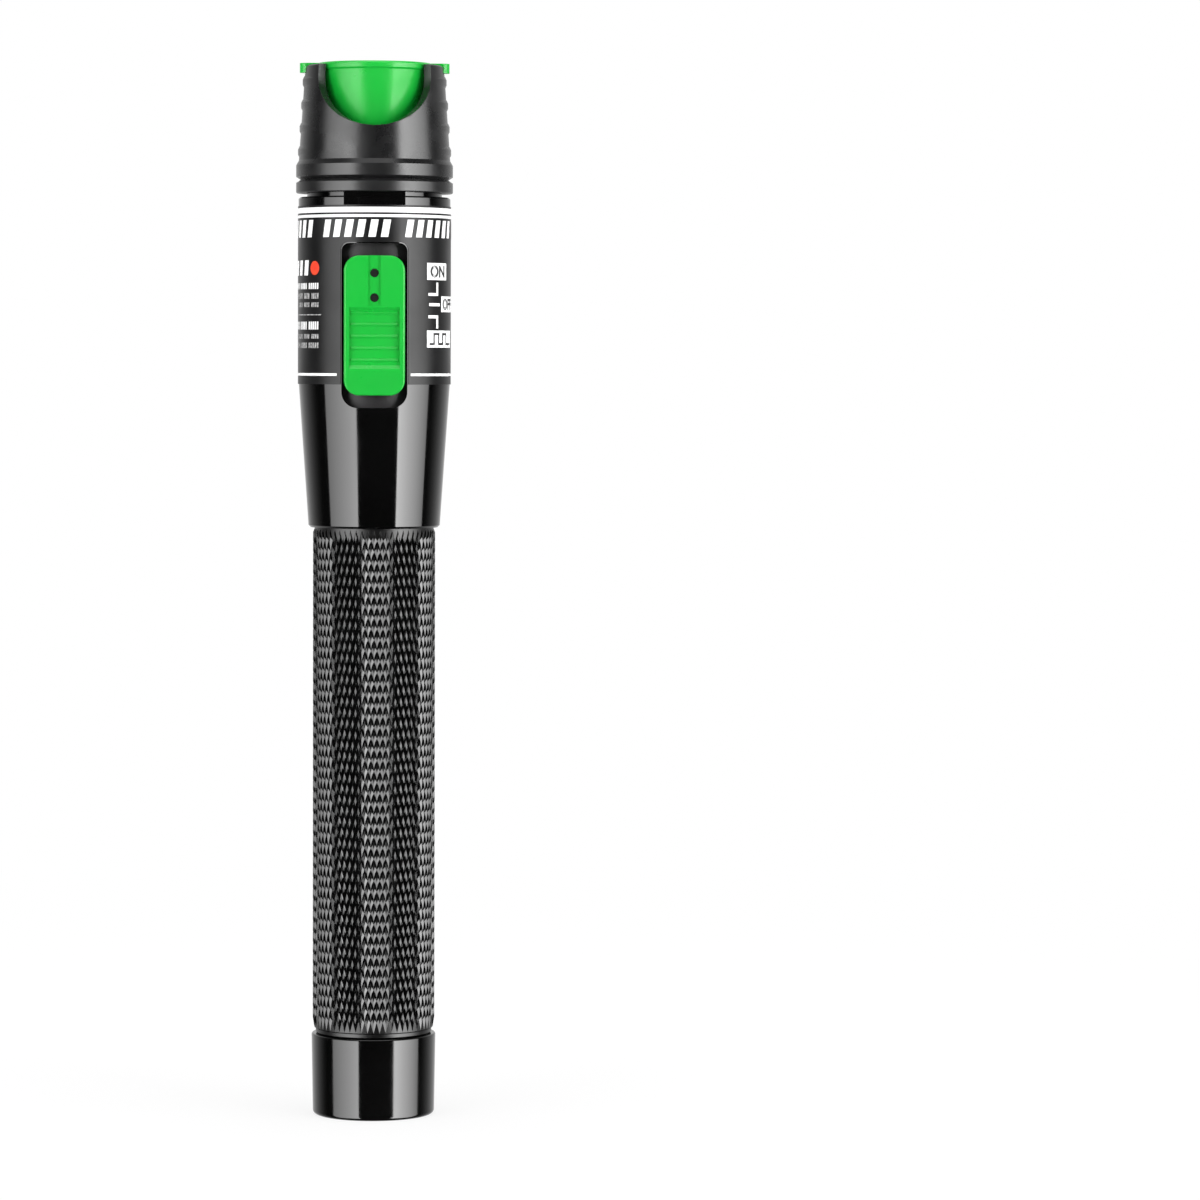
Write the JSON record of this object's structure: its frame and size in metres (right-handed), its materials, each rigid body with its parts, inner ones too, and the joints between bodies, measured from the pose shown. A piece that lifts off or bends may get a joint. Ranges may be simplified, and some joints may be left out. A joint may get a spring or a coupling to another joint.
{
  "type": "visual fault locator",
  "caption": "Pen-shaped fibre fault locator with a knurled barrel, thumb slide switch, notched head shroud, ferrule port and pull-off dust cap.",
  "frame": {"origin": "middle of the tail cap's flat bottom face, which it stands on", "axes": "+Z along the barrel from the tail cap to the head, -Y out of the thumb slide, +X to the right of the thumb slide seen from the front"},
  "size_m": [0.026, 0.0265, 0.175],
  "materials": {
    "black_anodised": "black anodised aluminium, knurled",
    "black_gloss_metal": "gloss black",
    "black_gloss": "gloss black moulded plastic",
    "black_satin": "satin black moulded plastic",
    "label": "printed black film, satin",
    "green_plastic": "bright green moulded plastic",
    "rubber_seal": "black seal",
    "cell_jacket": "plain printed jacket",
    "board": "green solder mask",
    "brass": "machined brass",
    "nickel": "nickel plated",
    "ceramic": "white zirconia ceramic",
    "chip_black": "moulded components",
    "lens": "clear lens"
  },
  "bodies": {
    "root": {"barrel": "black_anodised", "barrel_o_ring": "rubber_seal", "battery_rear": "cell_jacket", "battery_front": "cell_jacket", "positive_contact": "brass", "contact_board": "board", "front_housing": "black_gloss", "label_wrap": "label", "chassis": "black_satin", "circuit_board": "board", "switch_case": "nickel", "driver_chip": "chip_black", "resistor_1": "chip_black", "resistor_2": "chip_black", "resistor_3": "chip_black", "capacitor": "chip_black", "board_screw_low": "nickel", "board_screw_high": "nickel", "laser_holder": "brass", "laser_diode": "nickel", "focus_lens": "lens", "ferrule_port": "nickel", "ferrule_sleeve": "ceramic", "port_nut": "nickel", "head_shroud": "black_satin"},
    "thumb_slide": {"slide_button": "green_plastic", "slide_carrier": "black_satin", "switch_knob": "black_satin"},
    "dust_cover": {"dust_cap": "green_plastic"},
    "tail_follower": {"tail_spring": "nickel", "tail_contact": "nickel"},
    "tail_screw_cap": {"tail_cap": "black_gloss_metal", "tail_o_ring": "rubber_seal"}
  },
  "joints": [
    {"name": "switch_slide", "type": "slide", "parent": "root", "child": "thumb_slide", "axis": [0, 0, 1], "range_m": [-0.002, 0.002]},
    {"name": "dust_cap_pull", "type": "slide", "parent": "root", "child": "dust_cover", "axis": [0, 0, 1], "range_m": [0, 0.08]},
    {"name": "tail_advance", "type": "slide", "parent": "root", "child": "tail_follower", "axis": [0, 0, -1], "range_m": [0, 0.006]},
    {"name": "tail_turn", "type": "hinge", "parent": "tail_follower", "child": "tail_screw_cap", "pos_m": [0, 0, 0], "axis": [0, 0, -1], "range_deg": [0, 2160]}
  ],
  "couplings": [
    {"joint": "tail_turn", "follows": "tail_advance", "rad_per_m": 6283.1}
  ]
}
